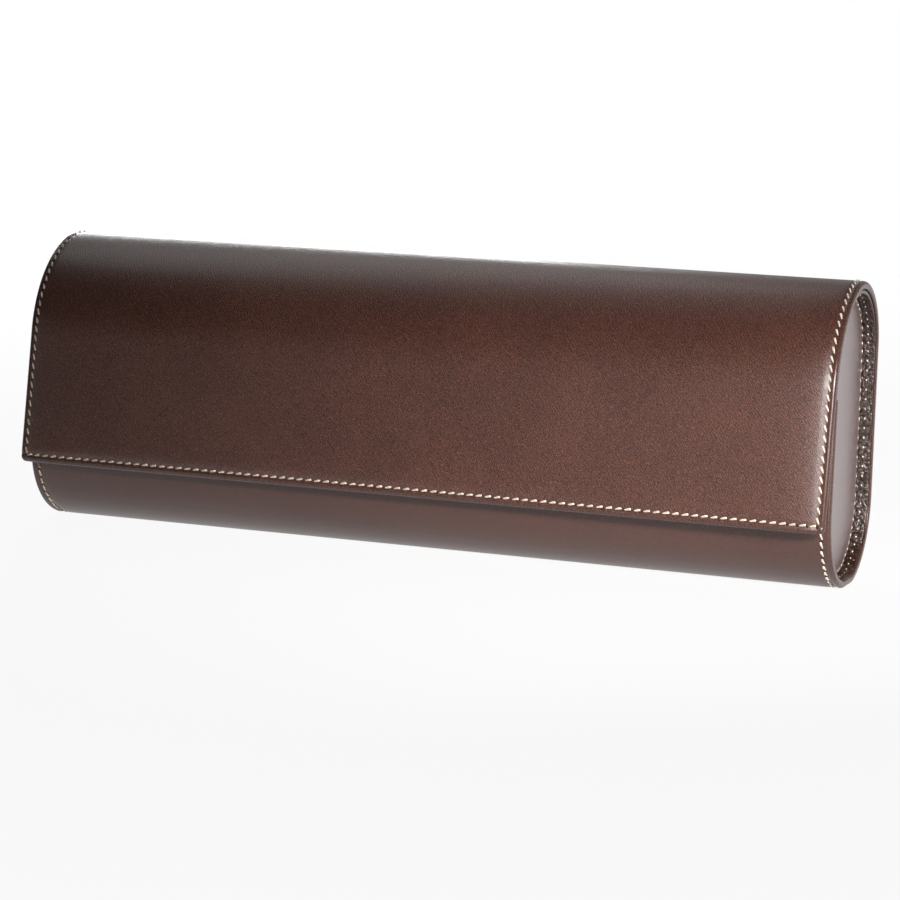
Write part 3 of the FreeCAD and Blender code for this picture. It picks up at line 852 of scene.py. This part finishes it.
def hem_row():
    """The row of stitches along the flap's hem, from left to right."""
    reach = HALF_LENGTH - SIDE_ROW
    count = int(round(2 * reach / PITCH))
    across = -reach + (np.arange(count) + 0.5) * 2 * reach / count
    distances = np.full(count, FLAP.length - HEM_ROW)
    section, normals = FLAP.at(distances)
    section = section - normals * flap_outside(distances, across)[:, None]
    directions = np.tile([1.0, 0.0, 0.0], (count, 1))
    return np.column_stack([across, section]), directions, np.column_stack([np.zeros(count), normals])


def panel_row(sign):
    """The row of stitches round an end panel, just inside its edge."""
    count = int(round(END.length / PITCH))
    distances = (np.arange(count) + 0.5) * END.length / count
    section, normals = END.at(distances)
    section = section - normals * (PANEL_DEPTH + PANEL_ROW)
    points = np.column_stack([np.full(count, sign * (PANEL_FACE - PANEL_SINK)), section])
    directions = sign * np.column_stack([np.zeros(count), -normals[:, 1], normals[:, 0]])
    return points, directions, np.tile([float(sign), 0.0, 0.0], (count, 1))


def stitching():
    """All the saddle stitching that shows: round the flap, round the body's rims and on its ends."""
    end = FLAP.length - HEM_ROW
    rows = [(HEM_SLANT, hem_row())]
    for sign in (-1, 1):
        side = beside(sign, side_inset)
        rows.append((SIDE_SLANT, row_along(FLAP, 0, end, side, flap_outside, -sign)))
    blended(sewn("flap_stitching", rows))
    rim_rows, end_rows = [], []
    for sign in (-1, 1):
        rim = beside(sign, rim_inset)
        rim_rows.append((RIM_SLANT, row_along(BODY, RIM_ROW_START, BODY.length, rim, body_outside, -sign)))
        inner = constant(BAND_DEPTHS[1] - BAND_SINK)
        end_rows.append((RIM_SLANT, row_along(END, 0, END.length, rim, inner, sign, inward=True)))
        end_rows.append((RIM_SLANT, panel_row(sign)))
    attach(sewn("rim_stitching", rim_rows), "case")
    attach(sewn("end_stitching", end_rows), "case")


def inflated(piece, pressure=4.0, frames=18, cap=2.2):
    """Fill a closed form as a sewn cover is filled: a cloth under pressure, held near its first shape."""
    scene = bpy.context.scene
    remesh = piece.modifiers.new("remesh", "REMESH")
    remesh.mode = "VOXEL"
    remesh.voxel_size = CUSHION_VOXEL * MM
    piece.data = bpy.data.meshes.new_from_object(piece.evaluated_get(bpy.context.evaluated_depsgraph_get()))
    piece.modifiers.clear()
    before = np.array([vertex.co for vertex in piece.data.vertices])
    cloth = piece.modifiers.new("cloth", "CLOTH")
    cloth.settings.use_pressure = True
    cloth.settings.uniform_pressure_force = pressure
    cloth.settings.effector_weights.gravity = 0
    for number in range(1, frames + 1):
        scene.frame_set(number)
    swollen = bpy.data.meshes.new_from_object(piece.evaluated_get(bpy.context.evaluated_depsgraph_get()))
    after = np.array([vertex.co for vertex in swollen.vertices])
    piece.modifiers.clear()
    scene.frame_set(1)
    move = after - before
    reach = np.linalg.norm(move, axis=1, keepdims=True)
    return before + move * np.minimum(1, cap * MM / np.maximum(reach, 1e-9))


def cushion_form():
    """The stuffed form of one watch cushion, about x = 0: round at top and bottom, with two sewn ends."""
    radius = CUSHION_DEPTH / 2
    low = np.array([0, CUSHION_SEAT + radius])
    high = np.array([0, CUSHION_SEAT + CUSHION_HEIGHT - radius])
    outline = Path(
        bend(low, radius, 180, 360), straight(low + (radius, 0), high + (radius, 0)),
        bend(high, radius, 0, 180), straight(high - (radius, 0), low - (radius, 0)),
    )
    half = CUSHION_WIDTH / 2 - CUSHION_INSET
    rings = plate_rings(CUSHION_INSET, -half, half, CUSHION_ROUND)
    piece = slab("cushion_1", outline, rings, [CUSHION_SUEDE])
    points = inflated(piece)
    seam = (half - SEAM_INSET) * MM
    middle = np.array([0, 0, (low[1] + high[1]) / 2 * MM])
    gap = np.abs(np.abs(points[:, 0]) - seam)
    pinch = SEAM_PINCH * MM * np.exp(-(gap / (SEAM_WIDTH * MM)) ** 2)
    radial = (points - middle) * (0, 1, 1)
    radial /= np.maximum(np.linalg.norm(radial, axis=1, keepdims=True), 1e-9)
    points = points - radial * pinch[:, None]
    piece.data.vertices.foreach_set("co", points.astype(np.float32).ravel())
    piece.data.polygons.foreach_set("use_smooth", np.ones(len(piece.data.polygons), bool))
    if not piece.data.materials:
        piece.data.materials.append(CUSHION_SUEDE)
    piece.data.update()
    return piece


def cushions():
    """Four stuffed cushions, one in each bay."""
    first = cushion_form()
    pieces = [first] + [bpy.data.objects.new(f"cushion_{number}", first.data) for number in (2, 3, 4)]
    for number, piece in enumerate(pieces, start=1):
        if number > 1:
            bpy.context.scene.collection.objects.link(piece)
        piece.location.x = (number - 2.5) * CUSHION_PITCH * MM
        smooth = piece.modifiers.new("smooth", "SUBSURF")
        smooth.levels = smooth.render_levels = 1
        dressed(piece, "cushion_suede", f"cushion_{number}_cover", f"cushion_{number}_core")
        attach(piece, f"cushion_{number}")


def finish_cad_nodes():
    """Materials for the CAD nodes that stay: the lip, the boards and the magnets."""
    finishes = {"lip_bead": BODY_LEATHER, "magnet": MAGNET, "board": BOARD}
    for name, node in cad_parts.items():
        for word, material in finishes.items():
            if word in name:
                node.data.materials.clear()
                node.data.materials.append(material)
                break


# Camera, as the photograph was taken
CAMERA_PLACE = (411.4, -1047.4, 203.83)
CAMERA_YAW, CAMERA_PITCH, CAMERA_ROLL = 21.29, 8.55, -1.64
CAMERA_LENS = 127.96
CAMERA_SENSOR = 36.0

# Floor: half its width, the distances in metres between which it fades to white, and its white by the case
FLOOR_REACH = 9000
FLOOR_FADE = (0.15, 1.2)
FLOOR_WHITE = 0.92

# White sweep: its share as plain light, where it rises to the back and falls to the right, and its levels
SWEEP_SHARE = 0.25
SWEEP_RISE = (0.35, 0.85)
SWEEP_FALL = (-0.45, -0.2)
FRONT_LEVEL = 0.045
RIGHT_LEVEL = 0.4

# Lamps: name, place, aim, width, height, beam in degrees and power
LAMPS = (
    ("key", (365, -295, 160), (140, 0, 35), 400, 30, 46, 0.38),
    ("top", (-300, 230, 690), (-60, -10, 95), 600, 300, 180, 0.9),
    ("rear", (-620, 900, 330), (-60, 20, 60), 640, 300, 180, 6.0),
    ("side", (900, 400, 420), (150, 0, 50), 500, 500, 180, 0.8),
)


def larger(tree, first, second):
    """The larger of two numbers."""
    return add_node(tree, "ShaderNodeMath", {0: first, 1: second}, operation="MAXIMUM").outputs[0]


def product(tree, first, second):
    """The product of two numbers."""
    return add_node(tree, "ShaderNodeMath", {0: first, 1: second}, operation="MULTIPLY").outputs[0]


def mapped(tree, value, source, target, **settings):
    """A number carried from one range to another."""
    values = {"From Min": source[0], "From Max": source[1], "To Min": target[0], "To Max": target[1]}
    return add_node(tree, "ShaderNodeMapRange", {"Value": value}, values, **settings).outputs["Result"]


def pale_floor():
    """A pale floor that fades to white and keeps the case's shadow."""
    corners = [(FLOOR_REACH * x, FLOOR_REACH * y, 0) for x, y in ((-1, -1), (1, -1), (1, 1), (-1, 1))]
    floor = new_object("floor", corners, [(0, 1, 2, 3)], [])
    material, tree, shader = new_material(
        "pale_floor", Roughness=0.9, Base_Color=(0.9, 0.9, 0.9, 1), Specular_IOR_Level=0.0
    )
    place = add_node(tree, "ShaderNodeNewGeometry").outputs["Position"]
    far = add_node(tree, "ShaderNodeVectorMath", {0: place}, operation="LENGTH").outputs["Value"]
    share = mapped(tree, far, FLOOR_FADE, (FLOOR_WHITE, 1.0), interpolation_type="SMOOTHSTEP")
    path = add_node(tree, "ShaderNodeLightPath").outputs
    mirrored = larger(tree, path["Is Glossy Ray"], path["Is Transmission Ray"])
    part = product(tree, larger(tree, path["Is Camera Ray"], mirrored), share)
    white = add_node(tree, "ShaderNodeEmission", values={"Color": (1, 1, 1, 1), "Strength": 1.0}).outputs[0]
    mixed = add_node(tree, "ShaderNodeMixShader", {0: part, 1: shader.outputs[0], 2: white}).outputs[0]
    tree.links.new(mixed, tree.nodes["Material Output"].inputs["Surface"])
    floor.data.materials.append(material)


def white_sweep():
    """A white sweep behind the case: white to the camera, and brightest from behind on the left."""
    world = bpy.data.worlds.new("studio")
    bpy.context.scene.world = world
    world.use_nodes = True
    tree = world.node_tree
    background = tree.nodes["Background"]
    background.inputs["Color"].default_value = (1, 1, 1, 1)
    direction = add_node(tree, "ShaderNodeTexCoord").outputs["Generated"]
    part = add_node(tree, "ShaderNodeSeparateXYZ", {"Vector": direction}).outputs
    back = mapped(tree, part["Y"], SWEEP_RISE, (FRONT_LEVEL, 1.0))
    left = mapped(tree, part["X"], SWEEP_FALL, (1.0, RIGHT_LEVEL))
    level = product(tree, back, left)
    path = add_node(tree, "ShaderNodeLightPath").outputs
    mirrored = larger(tree, path["Is Glossy Ray"], path["Is Transmission Ray"])
    light = product(tree, level, span(tree, mirrored, SWEEP_SHARE, 1.0))
    tree.links.new(larger(tree, path["Is Camera Ray"], light), background.inputs["Strength"])


def soft_lamps():
    """Four soft lamps, unseen by the camera."""
    for name, place, aim, width, height, beam, power in LAMPS:
        lamp = bpy.data.lights.new(name, "AREA")
        lamp.shape = "RECTANGLE"
        lamp.size, lamp.size_y, lamp.energy = width * MM, height * MM, power
        lamp.spread = math.radians(beam)
        holder = bpy.data.objects.new(name, lamp)
        holder.location = Vector(place) * MM
        holder.rotation_euler = (Vector(aim) - Vector(place)).to_track_quat("-Z", "Y").to_euler()
        holder.visible_camera = False
        bpy.context.scene.collection.objects.link(holder)


def place_camera():
    """The camera at the photograph's viewing angle."""
    data = bpy.data.cameras.new("camera")
    data.lens, data.sensor_width = CAMERA_LENS, CAMERA_SENSOR
    camera = bpy.data.objects.new("camera", data)
    turn = (
        Matrix.Rotation(math.radians(CAMERA_YAW), 4, "Z")
        @ Matrix.Rotation(math.radians(90 - CAMERA_PITCH), 4, "X")
        @ Matrix.Rotation(math.radians(-CAMERA_ROLL), 4, "Z")
    )
    camera.matrix_world = Matrix.Translation(Vector(CAMERA_PLACE) * MM) @ turn
    bpy.context.scene.collection.objects.link(camera)
    bpy.context.scene.camera = camera


leather_pieces()
lining_pieces()
end_pieces("left", -1)
end_pieces("right", 1)
stitching()
cushions()
finish_cad_nodes()
pale_floor()
white_sweep()
soft_lamps()
place_camera()
bpy.context.scene.view_settings.view_transform = "Standard"
